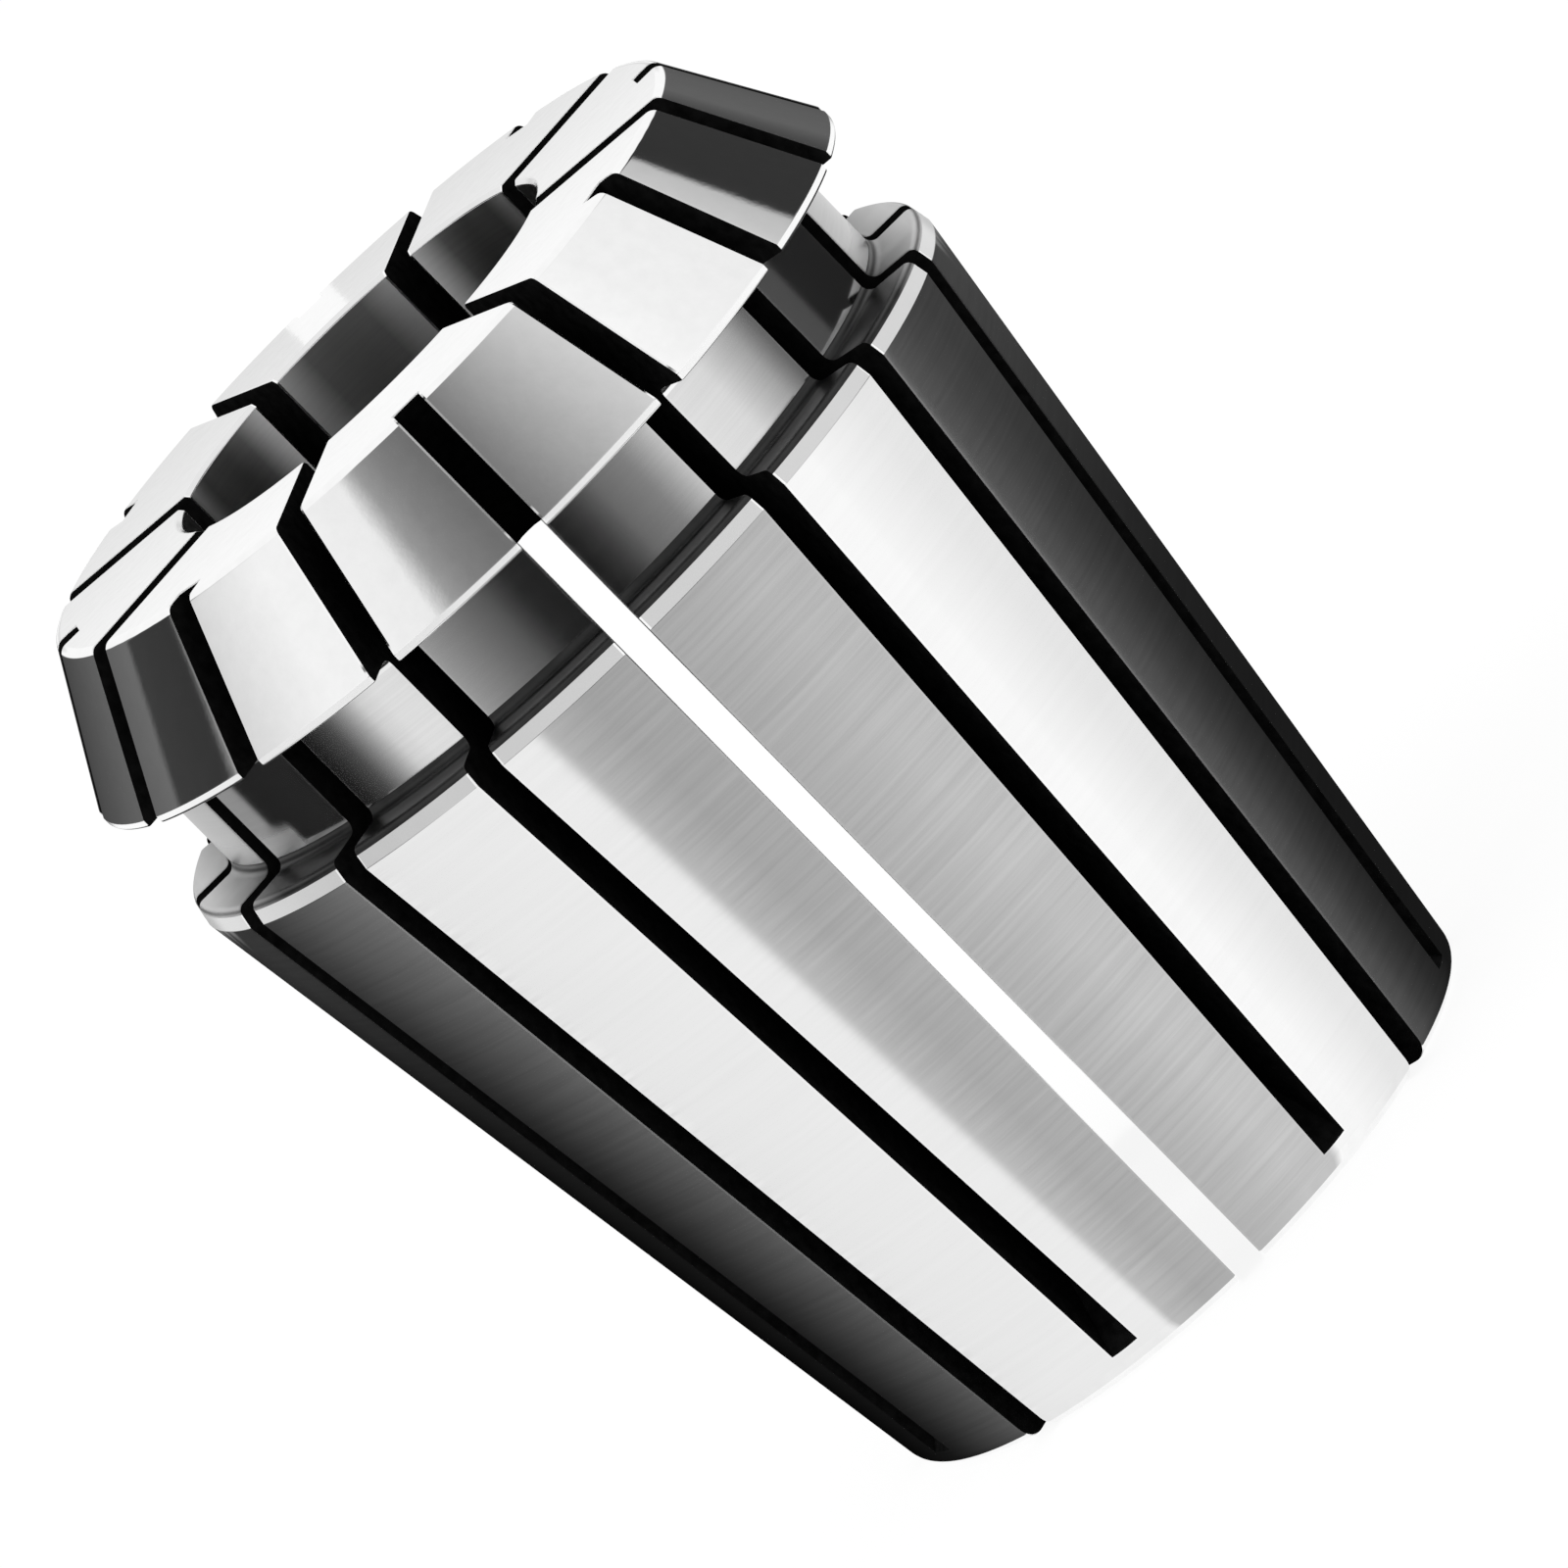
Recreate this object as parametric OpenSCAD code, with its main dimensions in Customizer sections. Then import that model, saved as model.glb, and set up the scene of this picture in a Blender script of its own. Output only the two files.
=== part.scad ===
// Slotted spring collet, size 32: a hardened steel sleeve with a round bore, a long
// 8 degree taper, an extraction groove and a 30 degree nose cone. Two sets of thin
// saw cuts, one from each end, let it close evenly on a tool shank.
// It stands on its back face, with the axis on Z and the nose up.

/* [Body] */
// Length over both end faces
length = 40; // [38:0.5:44]
// Largest diameter, at the shoulder and at the nose
max_d = 33; // [32:0.1:34]
// Diameter of the clamping bore
bore_d = 16; // [10:0.5:20]
// Half angle of the long main taper, in degrees
taper_half_angle = 8; // [7:0.25:9]
// Rounding of the edge at the back face
back_round = 0.8; // [0.2:0.05:1]
// Chamfer at both ends of the bore
bore_chamfer = 0.15; // [0.1:0.05:0.5]

/* [Nose] */
// Half angle of the nose cone, in degrees
nose_half_angle = 30; // [25:1:35]
// Height of the nose cone
nose_h = 5; // [4:0.1:6]
// Height of the narrow land below the nose cone
land_h = 0.3; // [0.2:0.05:0.6]
// Rounding of the edge between the nose cone and the front face
nose_round = 0.4; // [0.2:0.05:0.8]

/* [Extraction groove] */
// Diameter at the bottom of the groove
groove_d = 29.1; // [28:0.1:30]
// Width of the groove along the axis
groove_w = 3.95; // [3:0.05:5]
// Fillet in the two corners of the groove
groove_fillet = 0.35; // [0.2:0.05:0.8]

/* [Shoulder] */
// Height from the end of the main taper up to the groove
shoulder_h = 0.75; // [0.6:0.05:1.2]
// Half angle of the narrow lead at the shoulder, in degrees
lead_half_angle = 12; // [8:1:30]
// Rounding between the lead and the groove's wall
lead_round = 0.3; // [0.1:0.05:0.4]

/* [Slots] */
// Number of saw cuts from each end
slots_per_end = 8; // [4:1:9]
// Width of a saw cut
slot_w = 1.1; // [0.8:0.1:1.5]
// Diameter of the saw blade, which shapes the end of each cut
saw_d = 63; // [50:1:80]
// How far the blade reaches past the wall into the bore
saw_reach = 3.7; // [1.5:0.1:4.5]
// How deep the cuts from the back nick the rim of the front face
rim_nick = 0.85; // [0.4:0.05:1.5]
// Wall left behind the cuts from the front, measured on the taper
heel = 1; // [0.8:0.1:3]

/* [Hidden] */
$fn = 128;

max_r = max_d / 2;
bore_r = bore_d / 2;
groove_r = groove_d / 2;
saw_r = saw_d / 2;

// Heights of the steps, from the nose down to the back face at 0
nose_z = length - nose_h;
land_z = nose_z - land_h;
shoulder_z = land_z - groove_w;
taper_z = shoulder_z - shoulder_h;

// Radii where the sloping stretches end
face_r = max_r - nose_h * tan(nose_half_angle);
lead_r = max_r - shoulder_h * tan(lead_half_angle);
back_r = max_r - taper_z * tan(taper_half_angle);

// Corners of the half section: radius, height, rounding
CORNERS = [
    [bore_r + bore_chamfer, 0, 0],
    [back_r, 0, back_round],
    [max_r, taper_z, 0],
    [lead_r, shoulder_z, lead_round],
    [groove_r, shoulder_z, groove_fillet],
    [groove_r, land_z, groove_fillet],
    [max_r, land_z, 0],
    [max_r, nose_z, 0],
    [face_r, length, nose_round],
    [bore_r + bore_chamfer, length, 0],
    [bore_r, length - bore_chamfer, 0],
    [bore_r, bore_chamfer, 0]
];

// Neighbours of a corner, and the directions from it to them
function point(i) = [CORNERS[i][0], CORNERS[i][1]];
function before(i) = point((i + len(CORNERS) - 1) % len(CORNERS));
function after(i) = point((i + 1) % len(CORNERS));
function unit(v) = v / norm(v);
function to_before(i) = unit(before(i) - point(i));
function to_after(i) = unit(after(i) - point(i));

// Half of the angle between the two sides, and the circle that touches both
function half_angle(i) = acos(to_before(i) * to_after(i)) / 2;
function centre(i) =
    point(i) + unit(to_before(i) + to_after(i)) * CORNERS[i][2] / sin(half_angle(i));
function touch(i) = CORNERS[i][2] / tan(half_angle(i));

// A rounded corner gives the two points where its circle touches the sides
function ends(i) = CORNERS[i][2] == 0
    ? [point(i)]
    : [point(i) + to_before(i) * touch(i), point(i) + to_after(i) * touch(i)];

// The outline runs round the section with the material on its left
function is_outer(i) =
    to_before(i)[0] * to_after(i)[1] < to_before(i)[1] * to_after(i)[0];

// Radius of the main taper at a height, and half the chord of the saw at a radius
function taper_at(z) = back_r + z * tan(taper_half_angle);
function saw_chord(r) = sqrt(saw_r * saw_r - pow(saw_x - r, 2));

// The blade's centre, and where it stops for the cuts from the back and the front
saw_x = bore_r - saw_reach + saw_r;
back_stop = length - saw_chord(face_r - rim_nick);
front_stop = heel + saw_chord(taper_at(heel));

// The sweep of the cut overlaps the blade inside the bore and runs out past the surface
margin = 1;
sweep_x = bore_r - saw_reach + margin;
sweep_w = max_r + margin - sweep_x;
slot_step = 360 / slots_per_end;

module rounding(i) {
    translate(centre(i))
        circle(CORNERS[i][2]);
}

module half_section() {
    rounded = [for (i = [0 : len(CORNERS) - 1]) if (CORNERS[i][2] > 0) i];
    difference() {
        union() {
            polygon([for (i = [0 : len(CORNERS) - 1]) each ends(i)]);
            for (i = rounded)
                if (is_outer(i))
                    rounding(i);
        }
        for (i = rounded)
            if (!is_outer(i))
                rounding(i);
    }
}

// One cut: the blade where it stops, and its sweep out past one end of the collet
module saw_cut(stop, sweep_from, sweep_to) {
    rotate([90, 0, 0])
        translate([0, 0, -slot_w / 2]) {
            translate([saw_x, stop, 0])
                cylinder(h = slot_w, r = saw_r);
            translate([sweep_x, sweep_from, 0])
                cube([sweep_w, sweep_to - sweep_from, slot_w]);
        }
}

module cut_from_back() {
    saw_cut(back_stop, -margin, back_stop);
}

module cut_from_front() {
    saw_cut(front_stop, front_stop, length + margin);
}

module collet() {
    color("silver")
        difference() {
            rotate_extrude()
                half_section();
            for (i = [0 : slots_per_end - 1]) {
                rotate([0, 0, i * slot_step])
                    cut_from_back();
                rotate([0, 0, (i + 0.5) * slot_step])
                    cut_from_front();
            }
        }
}

collet();
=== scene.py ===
import math

import bmesh
import bpy
from mathutils import Matrix, Vector


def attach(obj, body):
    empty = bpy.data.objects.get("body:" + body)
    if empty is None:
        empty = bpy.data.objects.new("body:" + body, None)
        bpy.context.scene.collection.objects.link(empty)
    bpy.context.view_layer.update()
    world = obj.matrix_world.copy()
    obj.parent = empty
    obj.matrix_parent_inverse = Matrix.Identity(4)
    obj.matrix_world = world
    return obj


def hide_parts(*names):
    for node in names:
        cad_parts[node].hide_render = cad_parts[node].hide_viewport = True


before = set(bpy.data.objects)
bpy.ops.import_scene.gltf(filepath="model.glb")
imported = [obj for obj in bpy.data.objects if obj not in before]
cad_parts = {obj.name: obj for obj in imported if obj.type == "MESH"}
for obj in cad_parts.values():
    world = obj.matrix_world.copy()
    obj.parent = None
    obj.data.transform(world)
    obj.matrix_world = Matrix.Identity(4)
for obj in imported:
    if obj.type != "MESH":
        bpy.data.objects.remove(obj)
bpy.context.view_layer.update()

# All sizes below are in millimetres and degrees; meshes are scaled to metres at the end.
MM = 0.001

# Body of revolution
LENGTH = 40.0
MAX_R = 16.5
BORE_R = 8.0
BORE_CHAMFER = 0.15
TAPER_HALF_ANGLE = 8.0
BACK_ROUND = 0.8
NOSE_HALF_ANGLE = 30.0
NOSE_ROUND = 0.4
NOSE_Z = 35.0
LAND_Z = 34.7
GROOVE_R = 14.55
GROOVE_FILLET = 0.35
SHOULDER_Z = 30.75
TAPER_Z = 30.0
LEAD_HALF_ANGLE = 12.0
LEAD_ROUND = 0.3

# Small edges: roundings of the turned ones, and the break beside the cuts
EDGE_ROUND = 0.1
MOUTH_ROUND = 0.09
EDGE_BREAK = 0.07
EDGE_DEPTH = 0.02

# Saw cuts
SLOTS = 16
SLOT_W = 1.1
SAW_R = 31.5
SAW_REACH = 3.7
RIM_NICK = 0.85
HEEL = 1.0

# Mesh density
SECTOR_STEPS = 20
SECTOR_END = 1.6
SLOT_STEPS = 4
ARC_STEPS = 18

FACE_R = MAX_R - (LENGTH - NOSE_Z) * math.tan(math.radians(NOSE_HALF_ANGLE))
LEAD_R = MAX_R - (SHOULDER_Z - TAPER_Z) * math.tan(math.radians(LEAD_HALF_ANGLE))
BACK_R = MAX_R - TAPER_Z * math.tan(math.radians(TAPER_HALF_ANGLE))
HALF_W = SLOT_W / 2
SAW_X = BORE_R - SAW_REACH + SAW_R


def chord(x):
    """Half the chord of the saw at this distance from the collet's axis."""
    return math.sqrt(SAW_R * SAW_R - (SAW_X - x) ** 2)


def taper_at(z):
    return BACK_R + z * math.tan(math.radians(TAPER_HALF_ANGLE))


BACK_STOP = LENGTH - chord(FACE_R - RIM_NICK)
FRONT_STOP = HEEL + chord(taper_at(HEEL))


# The end of a cut from the back rises towards the nose, that of a cut from the front falls
def back_ramp(x):
    return BACK_STOP + chord(x)


def front_ramp(x):
    return FRONT_STOP - chord(x)


# Where the cuts end on the surfaces, as radius and height at the edge of the slot
def edge_radius(x):
    return math.hypot(x, HALF_W)


def edge_x(r):
    return math.sqrt(r * r - HALF_W * HALF_W)


def heel_height(y):
    z = HEEL
    for _ in range(20):
        z = front_ramp(math.sqrt(taper_at(z) ** 2 - y * y))
    return z


NICK_X = FACE_R - RIM_NICK
BORE_TOP = back_ramp(edge_x(BORE_R))
BORE_LOW = front_ramp(edge_x(BORE_R))
HEEL_Z = heel_height(HALF_W)

# Corners of the half section: radius, height, rounding, steps of the rounding, and the parts
# of the straight stretch after it
CORNERS = [
    (BORE_R + BORE_CHAMFER, 0.0, MOUTH_ROUND, 3, 6),
    (BACK_R, 0.0, BACK_ROUND, 12, 1),
    (MAX_R, TAPER_Z, EDGE_ROUND, 2, 2),
    (LEAD_R, SHOULDER_Z, LEAD_ROUND, 7, 3),
    (GROOVE_R, SHOULDER_Z, GROOVE_FILLET, 7, 8),
    (GROOVE_R, LAND_Z, GROOVE_FILLET, 7, 3),
    (MAX_R, LAND_Z, EDGE_ROUND, 4, 1),
    (MAX_R, NOSE_Z, EDGE_ROUND, 3, 10),
    (FACE_R, LENGTH, NOSE_ROUND, 7, 1),
    (BORE_R + BORE_CHAMFER, LENGTH, MOUTH_ROUND, 3, 1),
    (BORE_R, LENGTH - BORE_CHAMFER, MOUTH_ROUND, 3, 1),
    (BORE_R, BORE_CHAMFER, MOUTH_ROUND, 3, 1),
]

# Rows on the long stretches, by the corner that the stretch starts from: height or radius, and
# the name of the row where a cut ends on it
STOPS = {
    1: [("z", HEEL_Z, "heel")] + [("z", z, "") for z in (4.0, 10.0, 16.0, 22.0, 27.0)],
    8: [("r", 13.15, ""), ("r", edge_radius(NICK_X), "nick")]
    + [("r", r, "") for r in (11.4, 10.0, 8.9)],
    10: [("z", 36.6, ""), ("z", BORE_TOP, "top")]
    + [("z", z, "") for z in (26.0, 18.0, 12.0)]
    + [("z", BORE_LOW, "low"), ("z", 4.0, "")],
}


def roundings():
    """For each corner: start, end and centre of its rounding, and 1 where it bulges outwards."""
    out = []
    for i, (x, y, rad, _, _) in enumerate(CORNERS):
        p = Vector((x, y))
        a = (Vector(CORNERS[i - 1][:2]) - p).normalized()
        b = (Vector(CORNERS[(i + 1) % len(CORNERS)][:2]) - p).normalized()
        half = math.acos(max(-1, min(1, a.dot(b)))) / 2
        centre = p + (a + b).normalized() * rad / math.sin(half)
        start = p + a * rad / math.tan(half)
        end = p + b * rad / math.tan(half)
        out.append((start, end, centre, 1 if a.x * b.y < b.x * a.y else -1))
    return out


def profile():
    """Rows of the closed half section: radius, height, and the normal of the surface there."""
    rows, marks = [], {}
    arcs = roundings()
    for i, (start, end, centre, sign) in enumerate(arcs):
        steps, parts = CORNERS[i][3:]
        v0, v1 = start - centre, end - centre
        turn = math.atan2(v0.x * v1.y - v0.y * v1.x, v0.dot(v1))
        for k in range(steps + 1):
            c, s = math.cos(turn * k / steps), math.sin(turn * k / steps)
            v = Vector((v0.x * c - v0.y * s, v0.x * s + v0.y * c))
            q = centre + v
            n = v.normalized() * sign
            rows.append((q.x, q.y, n.x, n.y))
        normal = rows[-1][2:]
        target = arcs[(i + 1) % len(arcs)][0]
        stops = STOPS.get(i) or [("share", k / parts, "") for k in range(1, parts)]
        for axis, value, mark in stops:
            if axis == "z":
                value = (value - end.y) / (target.y - end.y)
            elif axis == "r":
                value = (value - end.x) / (target.x - end.x)
            q = end.lerp(target, value)
            if mark:
                marks[mark] = len(rows)
            rows.append((q.x, q.y) + normal)
    return rows, marks


# Normals that the flat of the shoulder, the land and the nose cone keep, also over the small
# roundings at their ends, so that no thin line shows there
SHOULDER_NORMAL = (0.087, 0.996)
LAND_NORMAL = (0.978, 0.208)
CONE_NORMAL = (
    math.cos(math.radians(NOSE_HALF_ANGLE)), math.sin(math.radians(NOSE_HALF_ANGLE)),
)


def settled(row):
    """The row, with one of those normals where it lies on one of these surfaces."""
    r, z, _, nz = row
    if nz > 0.999 and abs(z - SHOULDER_Z) < 0.01:
        return (r, z) + SHOULDER_NORMAL
    if -0.01 < nz < 0.26 and LAND_Z < z < NOSE_Z + EDGE_ROUND and r > MAX_R - 0.06:
        return (r, z) + LAND_NORMAL
    if 0.26 <= nz < 0.51 and abs(z - NOSE_Z) < EDGE_ROUND:
        return (r, z) + CONE_NORMAL
    return row


ROWS, MARKS = profile()
ROWS = [settled(row) for row in ROWS]
N_ROWS = len(ROWS)

# Materials by their place in the object's list. The first three are the kinds of faces too
GROUND, CUT, EDGE, STRIP, SHOULDER, POLISHED, BORE, LEAD, GROOVE, MOUTH = range(10)

# Heights where the looks change at the shoulder, and the margin within which a row counts
LEAD_TOP = SHOULDER_Z - LEAD_ROUND * 0.7
FILLET_TOP = SHOULDER_Z + GROOVE_FILLET * 1.05
NARROW = 0.05


def middle(i):
    """Middle of the stretch from row i to the next one, as radius and height."""
    a, b = ROWS[i], ROWS[(i + 1) % N_ROWS]
    return (a[0] + b[0]) / 2, (a[1] + b[1]) / 2


def is_land(i):
    """Rows of the narrow land below the nose cone."""
    r, z = middle(i)
    return LAND_Z - 0.001 < z < NOSE_Z + NARROW and r > MAX_R - 0.11


def is_mouth(i):
    """Rows of the chamfers of the bore."""
    r, z = middle(i)
    near_end = z > LENGTH - BORE_CHAMFER - NARROW or z < BORE_CHAMFER + NARROW
    return near_end and r < BORE_R + BORE_CHAMFER + NARROW


def is_lead(i):
    """Rows of the narrow lead at the shoulder."""
    return TAPER_Z - NARROW < middle(i)[1] < LEAD_TOP and ROWS[i][0] > LEAD_R - 0.02


def is_shoulder(i):
    """Rows of the groove's lower side, with the roundings at both of its ends."""
    r, z = middle(i)
    return LEAD_TOP < z < FILLET_TOP and r > GROOVE_R - 0.02


def is_bore(i):
    return i >= MARKS["nick"] and abs(ROWS[i][0] - BORE_R) < 0.01


def is_groove(i):
    """Rows of the groove's bottom."""
    r = max(ROWS[i][0], ROWS[(i + 1) % N_ROWS][0])
    return r < GROOVE_R + NARROW and SHOULDER_Z < ROWS[i][1] < LAND_Z


def is_taper(i):
    top = max(ROWS[i][1], ROWS[(i + 1) % N_ROWS][1])
    return MARKS["heel"] - 1 <= i and top < TAPER_Z + 0.01 and ROWS[i][0] > BACK_R


def turned_material(i):
    """Material of the turned surface from row i to the next one."""
    tests = (
        (is_land, STRIP), (is_mouth, MOUTH), (is_lead, LEAD), (is_shoulder, SHOULDER),
        (is_bore, BORE), (is_groove, GROOVE), (is_taper, GROUND),
    )
    for test, material in tests:
        if test(i):
            return material
    return POLISHED


def from_back(slot):
    return slot % 2 == 0


def removed(slot, i):
    """Is the stretch from row i to the next one cut away across this slot?"""
    if from_back(slot):
        return not (MARKS["nick"] <= i < MARKS["top"])
    return MARKS["heel"] <= i < MARKS["low"]


def sector_fractions():
    """Steps across a sector, wider next to the slots so that the edge break has room."""
    widths = [SECTOR_END] + [1.0] * (SECTOR_STEPS - 2) + [SECTOR_END]
    return [sum(widths[:k]) / sum(widths) for k in range(1, SECTOR_STEPS)]


STEP = 2 * math.pi / SLOTS
FRACTIONS = sector_fractions()
PER_SLOT = SLOT_STEPS + 1 + len(FRACTIONS)
N_COLS = SLOTS * PER_SLOT


def across(m):
    """Distance of a slot's column m from its middle plane."""
    return -HALF_W + SLOT_W * m / SLOT_STEPS


def slot_point(slot, i, y):
    """A point on row i, at the distance y from the slot's middle plane, in the slot's own axes."""
    r, z = ROWS[i][:2]
    x = math.sqrt(r * r - y * y)
    if from_back(slot):
        if i == MARKS["nick"]:
            x = NICK_X
        elif i == MARKS["top"]:
            z = back_ramp(x)
    elif i == MARKS["low"]:
        z = front_ramp(x)
    elif i == MARKS["heel"]:
        z = heel_height(y)
        x = math.sqrt(taper_at(z) ** 2 - y * y)
    return x, y, z


def turned(x, y, z, angle):
    c, s = math.cos(angle), math.sin(angle)
    return (x * c - y * s, x * s + y * c, z)


def grid_point(c, i):
    """Where column c meets row i. The columns of a slot come first, then its sector's."""
    slot, m = divmod(c, PER_SLOT)
    if m <= SLOT_STEPS:
        return turned(*slot_point(slot, i, across(m)), slot * STEP)
    r, z = ROWS[i][:2]
    half = math.asin(HALF_W / r)
    a = slot * STEP + half
    b = (slot + 1) * STEP - half
    phi = a + (b - a) * FRACTIONS[m - SLOT_STEPS - 1]
    return (r * math.cos(phi), r * math.sin(phi), z)


def on_cone(p):
    """Is the point on the outside of the nose cone?"""
    above_land = NOSE_Z + EDGE_ROUND < p.z < LENGTH - 0.01
    return above_land and math.hypot(p.x, p.y) > FACE_R - NOSE_ROUND * 0.75


# Values of a face's row where it belongs to a cut
RAMP, WALL = -2, -3


class Body:
    """The collet's mesh while it is built, with the kind and the row of each face."""

    def __init__(self):
        self.bm = bmesh.new()
        self.row = self.bm.faces.layers.int.new("row")
        self.kind = self.bm.faces.layers.int.new("kind")
        self.grid = {}

    def vert(self, c, i):
        key = (c % N_COLS, i % N_ROWS)
        if key not in self.grid:
            self.grid[key] = self.bm.verts.new(grid_point(*key))
        return self.grid[key]

    def face(self, verts, kind, row):
        f = self.bm.faces.new(verts)
        f[self.kind] = kind
        f[self.row] = row
        f.material_index = kind
        f.smooth = True
        return f

    def touches(self, v, kind):
        """Does a face of this kind meet the vertex?"""
        return any(f[self.kind] == kind for f in v.link_faces)

    def add_turned(self):
        for c in range(N_COLS):
            slot, m = divmod(c, PER_SLOT)
            for i in range(N_ROWS):
                if m < SLOT_STEPS and removed(slot, i):
                    continue
                verts = [self.vert(c, i), self.vert(c, i + 1)]
                verts += [self.vert(c + 1, i + 1), self.vert(c + 1, i)]
                self.face(verts, GROUND, i).material_index = turned_material(i)

    def add_cut(self, slot):
        """The two flat walls of a cut, and the ramp between them."""
        base = slot * PER_SLOT
        if from_back(slot):
            first, last, ramp = MARKS["top"], MARKS["nick"], back_ramp
        else:
            first, last, ramp = MARKS["heel"], MARKS["low"], front_ramp
        columns = range(SLOT_STEPS + 1)
        lines = [[self.vert(base + m, last) for m in columns]]
        for k in range(1, ARC_STEPS):
            line = []
            for m in columns:
                y = across(m)
                x0 = slot_point(slot, last, y)[0]
                x1 = slot_point(slot, first, y)[0]
                x = x0 + (x1 - x0) * (k / ARC_STEPS)
                line.append(self.bm.verts.new(turned(x, y, ramp(x), slot * STEP)))
            lines.append(line)
        lines.append([self.vert(base + m, first) for m in columns])
        for a, b in zip(lines, lines[1:]):
            for m in range(SLOT_STEPS):
                self.face([a[m], a[m + 1], b[m + 1], b[m]], CUT, RAMP)
        for m in (0, SLOT_STEPS):
            count = (last - first) % N_ROWS
            loop = [self.vert(base + m, first + k) for k in range(count + 1)]
            loop += [line[m] for line in lines[1:-1]]
            self.face(loop, CUT, WALL)

    def edge_material(self, f):
        """Material of a broken edge: the shoulder's painted shade beside the shoulder, and the
        lead's darker copy, painted shade, on the near cone.
        """
        near = [g for e in f.edges for g in e.link_faces if g[self.kind] == GROUND]
        p = f.calc_center_median()
        if any(g.material_index == SHOULDER for g in near):
            return SHOULDER
        # Near-cone edges take the lead's darker copy: painted shade
        if on_cone(p) and abs(p.x) < 1:
            return LEAD
        return EDGE

    def break_edges(self):
        """A small break along every edge where a cut meets a turned surface."""
        sharp = []
        for e in self.bm.edges:
            if len(e.link_faces) != 2:
                raise RuntimeError("the collet's mesh has an open edge")
            if {f[self.kind] for f in e.link_faces} == {GROUND, CUT}:
                sharp.append(e)
        done = bmesh.ops.bevel(
            self.bm, geom=sharp, offset=EDGE_BREAK, offset_type="OFFSET", segments=1, profile=0.5,
            affect="EDGES", clamp_overlap=False, loop_slide=True, material=EDGE,
        )
        for f in done["faces"]:
            f[self.kind] = EDGE
            f.smooth = True
            f.material_index = self.edge_material(f)
        self.draw_back(done["faces"])

    def draw_back(self, breaks):
        """Makes the break shallow: its inner side is drawn back up the cut."""
        moves = {}
        for f in breaks:
            for e in f.edges:
                a, b = e.verts
                for v, w in ((a, b), (b, a)):
                    walls = [g.normal for g in v.link_faces if g[self.kind] == CUT]
                    if not walls or self.touches(v, GROUND):
                        continue
                    if not self.touches(w, GROUND) or self.touches(w, CUT):
                        continue
                    n = sum(walls, Vector()).normalized()
                    d = w.co - v.co
                    moves.setdefault(v, []).append(d - n * d.dot(n))
        for v, steps in moves.items():
            v.co += sum(steps, Vector()) / len(steps) * (1 - EDGE_DEPTH / EDGE_BREAK)

    def split_walls(self):
        """Splits the flat walls of the cuts into triangles."""
        walls = [f for f in self.bm.faces if f[self.row] == WALL and f[self.kind] == CUT]
        bmesh.ops.triangulate(self.bm, faces=walls, quad_method="BEAUTY", ngon_method="BEAUTY")

    def normals(self):
        """A normal for each corner of each face: turned surfaces and ramps are smooth."""
        ground = {}
        for f in self.bm.faces:
            if f[self.kind] == GROUND:
                for v in f.verts:
                    ground.setdefault(v.index, []).append(surface_normal(v.co, f[self.row]))
        out = []
        for f in self.bm.faces:
            for loop in f.loops:
                v = loop.vert
                if f[self.kind] == GROUND:
                    n = surface_normal(v.co, f[self.row])
                elif f[self.kind] == EDGE:
                    n = leaned(beside(f, ground, v), v.co)
                elif f[self.row] == RAMP:
                    n = Vector()
                    for g in v.link_faces:
                        if g[self.kind] == CUT and g[self.row] == RAMP:
                            n += g.normal
                    n.normalize()
                else:
                    n = f.normal
                out.append(tuple(n))
        return out


def surface_normal(p, i):
    """Normal of the turned surface at p, on the stretch between rows i and i + 1."""
    r = math.hypot(p.x, p.y)
    a, b = ROWS[i], ROWS[(i + 1) % N_ROWS]
    da = math.hypot(r - a[0], p.z - a[1])
    db = math.hypot(r - b[0], p.z - b[1])
    t = da / (da + db)
    if (a[2:], b[2:]) == (LAND_NORMAL, CONE_NORMAL):
        t = 1
    nr, nz = a[2] + (b[2] - a[2]) * t, a[3] + (b[3] - a[3]) * t
    return Vector((nr * p.x / r, nr * p.y / r, nz)).normalized()


def beside(face, ground, vert):
    """Normal of the turned surface at a vertex of a broken edge, or nearest to it."""
    if vert.index in ground:
        return sum(ground[vert.index], Vector()).normalized()
    near = [v for e in face.edges for g in e.link_faces for v in g.verts if v.index in ground]
    if not near:
        return vert.normal
    nearest = min(near, key=lambda v: (v.co - vert.co).length)
    return sum(ground[nearest.index], Vector()).normalized()


def leaned(normal, p):
    """The normal of a broken edge of the near cone: leaned half way over towards its cut."""
    if not on_cone(p) or p.y > -0.87 * math.hypot(p.x, p.y):
        return normal
    at = math.atan2(p.y, p.x)
    side = math.copysign(1, round(at / STEP) * STEP - at)
    return (normal + Vector((-math.sin(at), math.cos(at), 0)) * side).normalized()


def add_object(name, bm):
    """Puts a mesh that was built in millimetres into the scene."""
    mesh = bpy.data.meshes.new(name)
    bm.to_mesh(mesh)
    bm.free()
    mesh.transform(Matrix.Scale(MM, 4))
    o = bpy.data.objects.new(name, mesh)
    bpy.context.scene.collection.objects.link(o)
    return o


def add_collet():
    body = Body()
    body.add_turned()
    for slot in range(SLOTS):
        body.add_cut(slot)
    bm = body.bm
    bmesh.ops.recalc_face_normals(bm, faces=bm.faces)
    body.break_edges()
    body.split_walls()
    bm.normal_update()
    bm.verts.index_update()
    bm.faces.index_update()
    normals = body.normals()
    o = add_object("collet_body", bm)
    o.data.normals_split_custom_set(normals)
    return o


collet = add_collet()


# Materials
def nodes_of(material):
    material.use_nodes = True
    tree = material.node_tree
    tree.nodes.clear()
    return tree


def new_material(name):
    m = bpy.data.materials.new(name)
    t = nodes_of(m)
    out = t.nodes.new("ShaderNodeOutputMaterial")
    p = t.nodes.new("ShaderNodeBsdfPrincipled")
    p.inputs["Metallic"].default_value = 1.0
    t.links.new(p.outputs[0], out.inputs[0])
    return m, t, p


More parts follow.
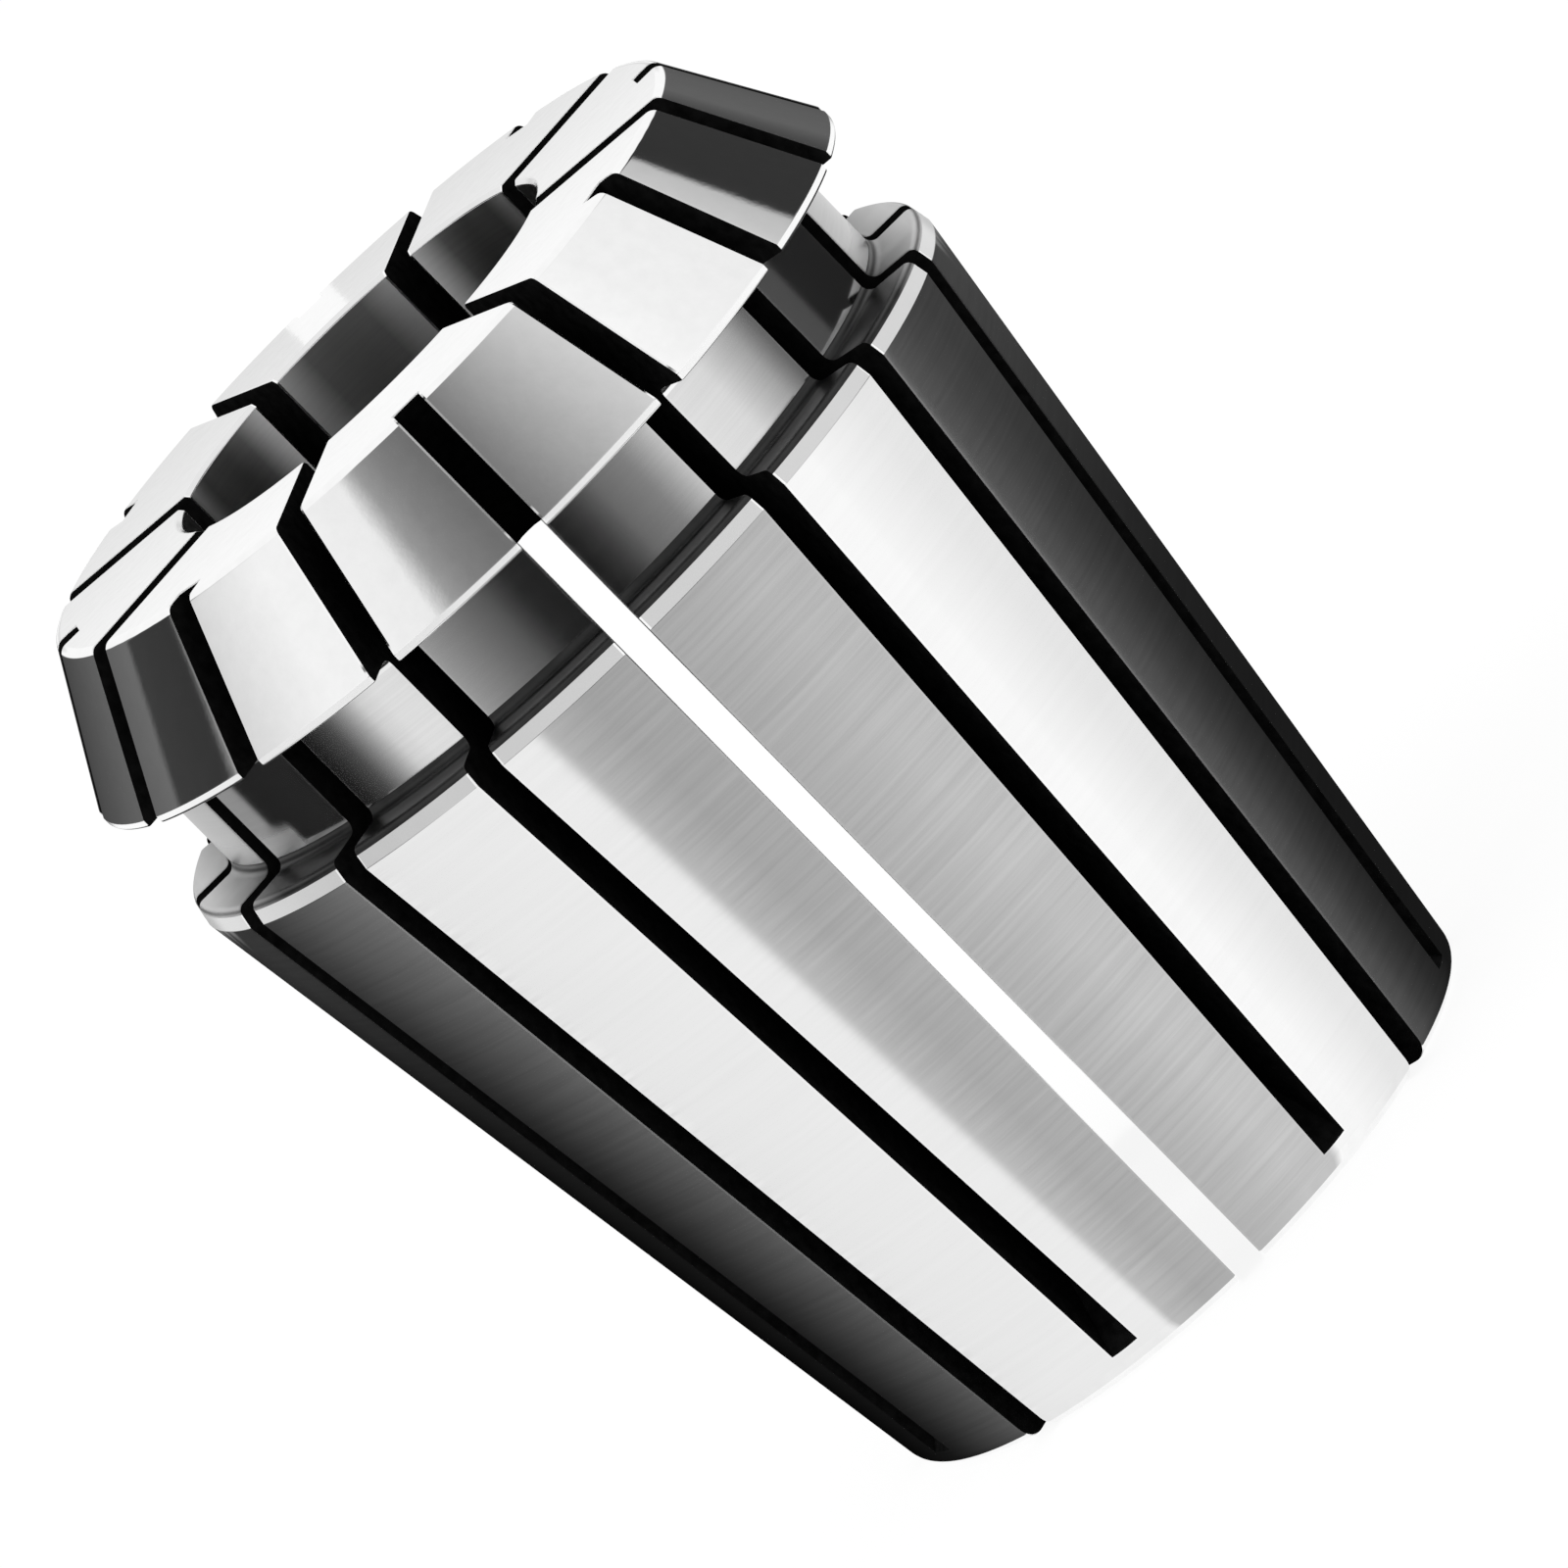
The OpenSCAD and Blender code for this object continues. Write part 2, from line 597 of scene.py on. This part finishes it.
def math_node(t, operation, a, b=None):
    n = t.nodes.new("ShaderNodeMath")
    n.operation = operation
    for socket, value in zip(n.inputs, (a, b)):
        if value is None:
            continue
        if isinstance(value, (int, float)):
            socket.default_value = value
        else:
            t.links.new(value, socket)
    return n.outputs[0]


def add(t, a, b):
    return math_node(t, "ADD", a, b)


def times(t, a, b):
    return math_node(t, "MULTIPLY", a, b)


def place(t):
    """The point's own place on the object, in metres."""
    return t.nodes.new("ShaderNodeTexCoord").outputs["Object"]


def place_xyz(t):
    split = t.nodes.new("ShaderNodeSeparateXYZ")
    t.links.new(place(t), split.inputs[0])
    return split.outputs


def turned_coordinates(t, around, across_marks):
    """Coordinates that run slowly round the axis and fast across the tool marks, without a seam."""
    x, y, z = place_xyz(t)
    r = math_node(t, "SQRT", add(t, times(t, x, x), times(t, y, y)))
    r = math_node(t, "MAXIMUM", r, 0.1 * MM)
    join = t.nodes.new("ShaderNodeCombineXYZ")
    t.links.new(times(t, math_node(t, "DIVIDE", x, r), around), join.inputs[0])
    t.links.new(times(t, math_node(t, "DIVIDE", y, r), around), join.inputs[1])
    t.links.new(times(t, math_node(t, "SUBTRACT", z, r), across_marks / MM), join.inputs[2])
    return join.outputs[0]


def noise(t, vector, scale, detail, roughness=0.5):
    n = t.nodes.new("ShaderNodeTexNoise")
    n.inputs["Scale"].default_value = scale
    n.inputs["Detail"].default_value = detail
    n.inputs["Roughness"].default_value = roughness
    t.links.new(vector, n.inputs["Vector"])
    return n.outputs["Fac"]


def spread(t, value, low, high, to_low, to_high):
    """Maps the stretch from low to high to the other one, held at its ends."""
    n = t.nodes.new("ShaderNodeMapRange")
    n.inputs["From Min"].default_value = low
    n.inputs["From Max"].default_value = high
    n.inputs["To Min"].default_value = to_low
    n.inputs["To Max"].default_value = to_high
    t.links.new(value, n.inputs["Value"])
    return n.outputs[0]


def over(t, value, stretch, to_low, to_high):
    """As spread, for a stretch in millimetres."""
    return spread(t, value, stretch[0] * MM, stretch[1] * MM, to_low, to_high)


def from_noise(t, value, to_low, to_high):
    """Maps the middle of a noise, where nearly all of its values lie."""
    return spread(t, value, 0.3, 0.7, to_low, to_high)


def paint(t, p, tone, roughness=None):
    """Grey base colour of a material, and its roughness where that isn't even."""
    n = t.nodes.new("ShaderNodeCombineColor")
    for k in range(3):
        t.links.new(tone, n.inputs[k])
    t.links.new(n.outputs[0], p.inputs["Base Color"])
    if roughness:
        t.links.new(roughness, p.inputs["Roughness"])


def add_bump(t, p, height, strength, distance):
    bump = t.nodes.new("ShaderNodeBump")
    bump.inputs["Strength"].default_value = strength
    bump.inputs["Distance"].default_value = distance * MM
    t.links.new(height, bump.inputs["Height"])
    t.links.new(bump.outputs[0], p.inputs["Normal"])


# Angles, in radians from the middle of the taper's near side, between which its bright fingers
# begin and end
TAPER_MIDDLE = 0.06
BRIGHT_FROM = (0.28, 0.33)
BRIGHT_TO = (0.77, 0.8)
# Stretches over which a finish changes, and where the bore's painted shade and the groove side's
# painted reflection set in: distance from the middle plane, and height
GROOVE_SKEW = 1.4
GROOVE_DULL = (12.0, 12.2)
GROOVE_FOOT = (32.3, 31.8)
BORE_SIDE_SHADE = (7.0, 7.4)
BORE_SOFT = (5.4, 3.6)
BORE_PLAIN = (2.7, 3.1)
# Where the groove side's painted reflection grows, by distance from the middle plane
SHOULDER_SIDE_LIGHT = (13.8, 15.8)


def steel():
    """The long taper: ground, with lines round the axis that are faint on the bright fingers.
    Beyond them it is smoother."""
    m, t, p = new_material("ground_steel")
    lines = noise(t, turned_coordinates(t, 1.8, 5.5), 1.0, 3.0, 0.6)
    patches = noise(t, turned_coordinates(t, 3.0, 0.35), 1.0, 1.0)
    x, y, _ = place_xyz(t)
    angle = math_node(t, "ARCTAN2", x, times(t, y, -1.0))
    angle = math_node(t, "ABSOLUTE", math_node(t, "SUBTRACT", angle, TAPER_MIDDLE))
    begun = spread(t, angle, *BRIGHT_FROM, 0.0, 1.0)
    bright = times(t, begun, spread(t, angle, *BRIGHT_TO, 1.0, 0.0))
    depth = spread(t, bright, 0.0, 1.0, 0.075, 0.012)
    marks = times(t, from_noise(t, lines, -1.0, 1.0), depth)
    tone = add(t, marks, from_noise(t, patches, 0.92, 0.935))
    calm = spread(t, angle, *BRIGHT_TO, 1.0, 0.5)
    paint(t, p, tone, times(t, from_noise(t, lines, 0.12, 0.09), calm))
    add_bump(t, p, lines, 0.2, 0.0003)
    return m


def polished():
    """Nose cone and front face: polished, with a soft mottle."""
    m, t, p = new_material("polished_steel")
    patches = noise(t, place(t), 1700.0, 3.0, 0.6)
    paint(t, p, from_noise(t, patches, 0.913, 0.952), from_noise(t, patches, 0.045, 0.06))
    add_bump(t, p, patches, 0.5, 0.003)
    return m


def grooved():
    """The bottom of the groove: turned and polished, duller at its foot on both sides."""
    m, t, p = new_material("groove_steel")
    lines = noise(t, turned_coordinates(t, 1.5, 9.0), 1.0, 3.0, 0.6)
    x, _, z = place_xyz(t)
    right = math_node(t, "SUBTRACT", x, GROOVE_SKEW * MM)
    off = math_node(t, "MAXIMUM", times(t, x, -1.0), right)
    foot = over(t, z, GROOVE_FOOT, 0.0, 1.0)
    dull = times(t, over(t, off, GROOVE_DULL, 0.0, 0.22), foot)
    tone = from_noise(t, lines, 0.905, 0.96)
    paint(t, p, tone, add(t, from_noise(t, lines, 0.1, 0.07), dull))
    return m


def honed():
    """The bore: honed, with painted light and shade in its base colour: dark in the middle of each
    finger, bright towards the cuts where light comes in through them, and nearly black at both
    sides.
    """
    m, t, p = new_material("honed_steel_painted_light")
    x, y, _ = place_xyz(t)
    turns = times(t, math_node(t, "ARCTAN2", y, x), SLOTS / 2)
    near = spread(t, math_node(t, "COSINE", turns), 0.3, -1.0, 0.0, 1.0)
    lines = noise(t, turned_coordinates(t, 2.0, 9.0), 1.0, 2.0, 0.5)
    off = math_node(t, "ABSOLUTE", x)
    # Base colour dark in the middle of each finger and bright towards the cuts: painted shade and
    # painted light
    tone = add(t, spread(t, near, 0.0, 1.0, 0.32, 0.95), from_noise(t, lines, -0.02, 0.02))
    # Darkened nearly to black at both sides of the bore: painted shade
    tone = times(t, tone, over(t, off, BORE_SIDE_SHADE, 1.0, 0.06))
    soft = times(t, over(t, off, BORE_SOFT, 0.0, 0.35), over(t, off, BORE_PLAIN, 0.0, 1.0))
    paint(t, p, tone, add(t, spread(t, near, 0.0, 1.0, 0.28, 0.4), soft))
    return m


def sawn():
    """Walls of the cuts: a near-black base colour, painted shade of the deep narrow cuts, which
    shines only where it is grazed.
    """
    m, t, p = new_material("sawn_steel_painted_shade")
    grain = noise(t, place(t), 2500.0, 3.0)
    facing = t.nodes.new("ShaderNodeLayerWeight").outputs["Facing"]
    gloss = spread(t, facing, 0.95, 0.985, 0.0, 1.0)
    # Near-black base colour: painted shade of the deep cuts, with the grazing gloss added to it
    tone = add(t, from_noise(t, grain, 0.004, 0.01), times(t, gloss, 0.93))
    paint(t, p, tone, spread(t, gloss, 0.0, 1.0, 0.8, 0.1))
    t.links.new(gloss, p.inputs["Metallic"])
    p.inputs["Specular IOR Level"].default_value = 0.0
    return m


def edge():
    """Broken edges beside the cuts: polished by the stone, with a base colour a little brighter
    than the ground faces, a painted highlight.
    """
    m, t, p = new_material("edge_steel_painted_highlight")
    lines = noise(t, turned_coordinates(t, 4.0, 8.0), 1.0, 2.0)
    # Base colour above that of the ground faces: painted highlight along the edges
    paint(t, p, from_noise(t, lines, 0.96, 0.99))
    p.inputs["Roughness"].default_value = 0.13
    return m


def strip(name, tone):
    """The narrow lead, the land and the bore's chamfers: a little coarser than the ground faces.
    Their tones are lit and shaded copies of one finish, painted light and shade.
    """
    m, t, p = new_material(name)
    patches = noise(t, place(t), 700.0, 2.0)
    tone = from_noise(t, patches, tone - 0.015, tone + 0.015)
    paint(t, p, tone, from_noise(t, patches, 0.15, 0.18))
    return m


def shoulder():
    """The side of the groove: turned, with painted shade: its base colour is nearly black, and it
    grows lighter towards the left and right, a painted reflection.
    """
    m, t, p = new_material("turned_shoulder_painted_shade")
    patches = noise(t, place(t), 900.0, 2.0)
    off = math_node(t, "ABSOLUTE", place_xyz(t)[0])
    side = over(t, off, SHOULDER_SIDE_LIGHT, 0.0, 0.5)
    # Nearly black base colour, painted shade, lighter towards left and right, painted reflection
    tone = add(t, from_noise(t, patches, 0.04, 0.055), side)
    paint(t, p, tone, from_noise(t, patches, 0.36, 0.42))
    return m


# In the order of the materials' numbers. The land's strip is the lit copy, a painted highlight; the
# lead's and the mouth's are darker copies, painted shade
for made in (
    steel(), sawn(), edge(), strip("turned_land_painted_highlight", 0.97), shoulder(), polished(), honed(),
    strip("turned_lead_painted_shade", 0.67), grooved(), strip("turned_mouth_painted_shade", 0.78),
):
    collet.data.materials.append(made)

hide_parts("collet")
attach(collet, "root")

# Floor: its size, its colour for diffuse light, and the share and the brightness of the white
# that hides most of the shadow where it is seen
FLOOR_R = 3000.0
FLOOR_COLOUR = 0.85
FLOOR_SHARE = 0.85
FLOOR_WHITE = 1.06

floor_bm = bmesh.new()
bmesh.ops.create_circle(floor_bm, cap_ends=True, segments=96, radius=FLOOR_R)
floor = add_object("floor", floor_bm)


def seen_directly(t):
    """1 for camera, glossy and transmission rays, 0 for the rest."""
    path = t.nodes.new("ShaderNodeLightPath").outputs
    shown = math_node(t, "MAXIMUM", path["Is Camera Ray"], path["Is Glossy Ray"])
    return math_node(t, "MAXIMUM", shown, path["Is Transmission Ray"])


def white_floor():
    """White where it is seen, with a part of the shadow on it, and plain where it gives light."""
    m = bpy.data.materials.new("white_floor")
    t = nodes_of(m)
    out = t.nodes.new("ShaderNodeOutputMaterial")
    d = t.nodes.new("ShaderNodeBsdfDiffuse")
    d.inputs["Color"].default_value = (FLOOR_COLOUR, FLOOR_COLOUR, FLOOR_COLOUR, 1)
    e = t.nodes.new("ShaderNodeEmission")
    e.inputs["Strength"].default_value = FLOOR_WHITE
    mix = t.nodes.new("ShaderNodeMixShader")
    t.links.new(times(t, seen_directly(t), FLOOR_SHARE), mix.inputs[0])
    t.links.new(d.outputs[0], mix.inputs[1])
    t.links.new(e.outputs[0], mix.inputs[2])
    t.links.new(mix.outputs[0], out.inputs[0])
    m.cycles.emission_sampling = "NONE"
    return m


floor.data.materials.append(white_floor())

# Viewing point
CAMERA_AZIMUTH = -0.02
CAMERA_ELEVATION = 12.575
CAMERA_DISTANCE = 442.77
CAMERA_ROLL = -44.44
AIM = Vector((0.16, 0.0, 19.742))
LENS = 308.6

a, e = math.radians(CAMERA_AZIMUTH), math.radians(CAMERA_ELEVATION)
OUTWARD = Vector((math.sin(a) * math.cos(e), -math.cos(a) * math.cos(e), math.sin(e)))
VIEW_POINT = AIM + OUTWARD * CAMERA_DISTANCE

# Cards round the collet, which only reflections see. Each stretch of them is laid out along the
# places that one surface mirrors towards the viewing point, so that its light and dark bands run
# along the collet. The lists give angle round the axis from the near side, and brightness up
# to 255.
CARD_R = 120.0
TAPER_BAND = [
    (-90, 5), (-79, 8), (-74, 13), (-66, 22), (-61, 36), (-55, 57), (-45.1, 90), (-44.4, 228),
    (-34, 232), (-15.2, 236), (-14, 186), (-8, 170), (-2, 174), (6, 182), (14, 194), (20.6, 194),
    (22.4, 252), (28, 247), (38, 230), (44.4, 228), (45.4, 86), (50, 74), (53, 61), (59, 44),
    (65, 34), (70, 24), (90, 24),
]
# What the top of the taper adds to that, and the share of it that each height takes
TOP_BAND = [
    (-90, 38), (-73, 40), (-66, 30), (-61, 29), (-55, 28), (-50, 25), (-45.1, 24), (-44.4, 0),
    (-15.2, 0), (-14, -10), (6, -10), (20.6, -13), (22.4, 0), (44.4, 0), (45.4, 2), (50, 3),
    (56, 14), (62, 23), (66, 30), (70, 43), (90, 44),
]
TOP_SHARE = [(6, 0.0), (12, 0.07), (16, 0.15), (20, 0.32), (24, 0.62), (27, 0.85), (30, 1.02)]
GROOVE_BAND = [
    (-90, 195), (-71, 180), (-66, 140), (-60.6, 138), (-59.4, 30), (-50, 34), (-42, 28), (-38, 70),
    (-32, 205), (-29, 220), (-25, 220), (-22, 180), (-20, 148), (-10, 84), (-6, 34), (-3, 26),
    (3, 26), (6, 52), (10, 102), (15, 125), (20, 190), (24, 222), (31, 215), (38, 160),
    (42, 100), (46, 74), (51.5, 72), (52.5, 32), (66, 30), (69, 185), (90, 215),
]
LEAD_BAND = [(-90, 252), (-66, 250), (-44, 226), (-20, 238), (0, 248), (66, 250), (90, 252)]
NOSE_BAND = [
    (-90, 66), (-78, 82), (-70, 96), (-66, 94), (-59.2, 106), (-58.6, 60), (-48.2, 52),
    (-45.4, 206), (-38, 225), (-30, 242), (-22, 240), (-14, 234), (-11.2, 152), (-8, 128),
    (-3, 110), (3, 124), (8, 154), (15, 188), (20.6, 208), (22.4, 249), (30, 240), (43, 236),
    (46, 200), (51.4, 186), (52.2, 50), (66, 52), (74, 96), (83, 90), (90, 82),
]
# The dark stretch that the shoulder mirrors: brightness, heights and the angles that have it
SHADE = 48
SHADE_LOW = 63.0
SHADE_HIGH = 83.0
SHADE_ANGLE = 60
# The stretch behind the collet that the front face mirrors: its brightness grows from its low
# end to its high end
FACE_LOW = 57.5
FACE_HIGH = 64.5
FACE_REACH = 12
FACE_TONE = 218
FACE_GAIN = 34
FACE_ANGLE = 158
FACE_BLEND = 6
# How far the bands of nose and groove go on below and above the height that each surface
# mirrors: behind the collet, and what more they take in front of the angle BEHIND, where they
# widen over WIDENING degrees
BEHIND = 140
WIDENING = 60
NOSE_BELOW = (14, 22)
NOSE_ABOVE = (16, 40)
GROOVE_ABOVE = (5.5, 7)
# Behind that angle the top of the nose's band comes down by this much, over these degrees
NOSE_DROP = 10
NOSE_DROP_OVER = 25
# Heights over which one band turns into the next
SOFT_TAPER = 2.0
SOFT_GROOVE = 2.5
SOFT_NOSE = 6
SOFT_FACE = 2
SOFT_SHADE = 4
SOFT_TOP = 2
BOTTOM = -99
TOP = 999
WHITE = 255
STEEL = 0.93

# Mesh of the cards: degrees from line to line, parts of the floor's stretch, heights, and the
# brightness from which on the white world serves as well
CARD_STEP = 0.5
FLOOR_PARTS = 10
CARD_HEIGHTS = [0, 1.5, 3, 4.5, 6, 7.5, 9, 11, 13, 15, 17, 19, 21, 24]
CARD_HEIGHTS += list(range(27, 54, 3)) + list(range(54, 70)) + list(range(72, 230, 8))
CARD_LIFT = 0.05
CARD_WHITE = 0.99


def level(value):
    """Brightness that shows as this value once the steel mirrors it."""
    v = value / WHITE
    v = v / 12.92 if v < 0.04045 else ((v + 0.055) / 1.055) ** 2.4
    return v / STEEL


def along(band, x):
    """Value of a list at x, held at its ends."""
    if x <= band[0][0]:
        return band[0][1]
    for (a0, v0), (a1, v1) in zip(band, band[1:]):
        if x <= a1:
            return v0 + (v1 - v0) * (x - a0) / (a1 - a0)
    return band[-1][1]


def held(value):
    return max(0, min(1, value))


def window(h, low, high, soft):
    """1 between two heights and 0 outside, with soft ends."""
    up = held((h - low) / soft + 0.5)
    down = held((high - h) / soft + 0.5)
    return up * up * (3 - 2 * up) * down * down * (3 - 2 * down)


def mirrored(tilt, r, z, angle):
    """Where a point of a surface, its normal tilted up by tilt, mirrors the upright card:
    angle and height on the card, and the direction of the reflected line over the floor."""
    t, a = math.radians(tilt), math.radians(angle)
    p = Vector((r * math.sin(a), -r * math.cos(a), z))
    n = Vector((math.cos(t) * math.sin(a), -math.cos(t) * math.cos(a), math.sin(t)))
    v = (VIEW_POINT - p).normalized()
    d = 2 * n.dot(v) * n - v
    d /= math.hypot(d.x, d.y)
    b = p.x * d.x + p.y * d.y
    hit = p + d * (math.sqrt(CARD_R * CARD_R - r * r + b * b) - b)
    return math.degrees(math.atan2(hit.x, -hit.y)), hit.z, d


class Seen:
    """What one surface mirrors: lists that turn an angle on the card into the surface's own
    angle and into the height on the card."""

    def __init__(self, tilt, r, z, band):
        self.band, self.angles, self.heights = band, [], []
        for k in range(-90, 91, 2):
            at, height, _ = mirrored(tilt, r, z, k)
            self.angles.append((at, k))
            self.heights.append((at, height))

    def tone(self, at):
        return along(self.band, along(self.angles, at))

    def height(self, at):
        return along(self.heights, at)


# Each surface by its tilt and by one point near its middle
SEEN_GROOVE = Seen(0, GROOVE_R, 32.7, GROOVE_BAND)
SEEN_LEAD = Seen(LEAD_HALF_ANGLE, MAX_R, TAPER_Z + 0.3, LEAD_BAND)
SEEN_NOSE = Seen(NOSE_HALF_ANGLE, 15.0, 37.5, NOSE_BAND)


class TaperLine:
    """The line out over the floor and up the card that the taper mirrors at one angle."""

    def __init__(self, angle):
        _, foot, d = mirrored(-TAPER_HALF_ANGLE, MAX_R, TAPER_Z, angle)
        a = math.radians(angle)
        self.angle = angle
        self.foot = max(foot, 0) + 1.0
        self.start = Vector((math.sin(a), -math.cos(a), 0)) * BACK_R
        self.out = Vector((d.x, d.y, 0))
        b = self.start.x * d.x + self.start.y * d.y
        self.reach = math.sqrt(CARD_R * CARD_R - BACK_R * BACK_R + b * b) - b
        end = self.start.x + d.x * self.reach, self.start.y + d.y * self.reach
        self.at = math.degrees(math.atan2(end[0], -end[1]))
        self.ways = self.way_to_height()

    def way_to_height(self):
        """List that turns a way along the line into the height on the taper that mirrors it."""
        ways = [(0.0, 0.0)]
        a = math.radians(self.angle)
        for z in range(2, 31, 2):
            r = taper_at(z)
            _, height, d = mirrored(-TAPER_HALF_ANGLE, r, z, self.angle)
            if height > 0:
                ways.append((self.reach + height, z))
            else:
                p = Vector((r * math.sin(a), -r * math.cos(a), 0))
                q = p + Vector((d.x, d.y, 0)) * z / max(-d.z, 0.001) - self.start
                ways.append((min(self.reach, q.dot(self.out)), z))
        return ways

    def point(self, way):
        return self.start + self.out * way

    def tone(self, way):
        top = along(TOP_BAND, self.angle) * along(TOP_SHARE, along(self.ways, way))
        return along(TAPER_BAND, self.angle) + top


def card_line(angle):
    """Points of one line of the cards, with their heights and brightness."""
    taper = TaperLine(angle)
    end, at = taper.point(taper.reach), taper.at
    behind = abs(at)
    groove_h, nose_h = SEEN_GROOVE.height(at), SEEN_NOSE.height(at)
    wide = held((BEHIND - behind) / WIDENING)
    drop = NOSE_DROP * held((behind - BEHIND) / NOSE_DROP_OVER)
    nose_low = nose_h - NOSE_BELOW[0] - NOSE_BELOW[1] * wide
    nose_top = nose_h + NOSE_ABOVE[0] + NOSE_ABOVE[1] * wide - drop
    groove_top = groove_h + GROOVE_ABOVE[0] + GROOVE_ABOVE[1] * wide
    line = []
    for k in range(FLOOR_PARTS):
        way = taper.reach * k / FLOOR_PARTS
        line.append((taper.point(way), 0.0, taper.tone(way)))
    for h in CARD_HEIGHTS:
        v = SEEN_LEAD.tone(at)
        if abs(angle) < SHADE_ANGLE:
            v += (SHADE - v) * window(h, SHADE_LOW, SHADE_HIGH, SOFT_SHADE)
        v += (WHITE - v) * window(h, nose_h, TOP, SOFT_TOP)
        if behind > FACE_ANGLE:
            tone = FACE_TONE + FACE_GAIN * held((h - FACE_LOW) / (FACE_HIGH - FACE_LOW))
            share = min(1, (behind - FACE_ANGLE) / FACE_BLEND)
            v += (tone - v) * window(h, FACE_LOW - FACE_REACH, FACE_HIGH, SOFT_FACE) * share
        v += (SEEN_NOSE.tone(at) - v) * window(h, nose_low, nose_top, SOFT_NOSE)
        v += (SEEN_GROOVE.tone(at) - v) * window(h, taper.foot, groove_top, SOFT_GROOVE)
        v += (taper.tone(taper.reach + h) - v) * window(h, BOTTOM, taper.foot, SOFT_TAPER)
        line.append((end, h, v))
    return line


def card_material():
    m = bpy.data.materials.new("card")
    t = nodes_of(m)
    out = t.nodes.new("ShaderNodeOutputMaterial")
    e = t.nodes.new("ShaderNodeEmission")
    c = t.nodes.new("ShaderNodeAttribute")
    c.attribute_name = "tone"
    t.links.new(c.outputs["Color"], e.inputs["Color"])
    t.links.new(e.outputs[0], out.inputs[0])
    m.cycles.emission_sampling = "NONE"
    return m


def add_cards():
    bm = bmesh.new()
    tone = bm.verts.layers.float_color.new("tone")
    lines = []
    for step in range(int(180 / CARD_STEP) + 1):
        row = []
        for q, h, v in card_line(step * CARD_STEP - 90):
            k = level(v)
            vert = bm.verts.new((q.x, q.y, h + CARD_LIFT))
            vert[tone] = (k, k, k, 1)
            row.append(vert)
        lines.append(row)
    for a, b in zip(lines, lines[1:]):
        for k in range(len(a) - 1):
            corners = (a[k], b[k], b[k + 1], a[k + 1])
            if min(v[tone][0] for v in corners) < CARD_WHITE:
                bm.faces.new(corners)
    o = add_object("cards", bm)
    o.data.materials.append(card_material())
    o.visible_camera = False
    o.visible_diffuse = False
    o.visible_transmission = False
    o.visible_shadow = False
    o.visible_volume_scatter = False


add_cards()

# A large soft lamp above, for the shadow on the floor, in metres
LAMP_AT = Vector((-0.35, -0.25, 0.85))
LAMP_SIZE = 0.7
LAMP_WATTS = 2.6

lamp_data = bpy.data.lights.new("soft_lamp", "AREA")
lamp_data.shape = "DISK"
lamp_data.size = LAMP_SIZE
lamp_data.energy = LAMP_WATTS
lamp = bpy.data.objects.new("soft_lamp", lamp_data)
bpy.context.scene.collection.objects.link(lamp)
aimed = (-LAMP_AT).to_track_quat("-Z", "Y").to_matrix().to_4x4()
lamp.matrix_world = Matrix.Translation(LAMP_AT) @ aimed
lamp.visible_glossy = False

# A white world, a little darker where it only gives light
WORLD_LIGHT = 0.7
WORLD_SEEN = 1.0

world = bpy.data.worlds.new("studio")
bpy.context.scene.world = world
world.cycles.sampling_method = "NONE"
wt = nodes_of(world)
w_out = wt.nodes.new("ShaderNodeOutputWorld")
w_bg = wt.nodes.new("ShaderNodeBackground")
w_bg.inputs["Color"].default_value = (1, 1, 1, 1)
w_level = spread(wt, seen_directly(wt), 0.0, 1.0, WORLD_LIGHT, WORLD_SEEN)
wt.links.new(w_level, w_bg.inputs["Strength"])
wt.links.new(w_bg.outputs[0], w_out.inputs[0])

# Camera
cam_data = bpy.data.cameras.new("camera")
cam_data.sensor_width = 36.0
cam_data.lens = LENS
cam_data.clip_start = 0.01
cam_data.clip_end = 20.0
camera = bpy.data.objects.new("camera", cam_data)
bpy.context.scene.collection.objects.link(camera)
look = (-OUTWARD).to_track_quat("-Z", "Y").to_matrix().to_4x4()
roll = Matrix.Rotation(math.radians(CAMERA_ROLL), 4, "Z")
camera.matrix_world = Matrix.Translation(VIEW_POINT * MM) @ look @ roll
bpy.context.scene.camera = camera

scene = bpy.context.scene
scene.view_settings.view_transform = "Standard"
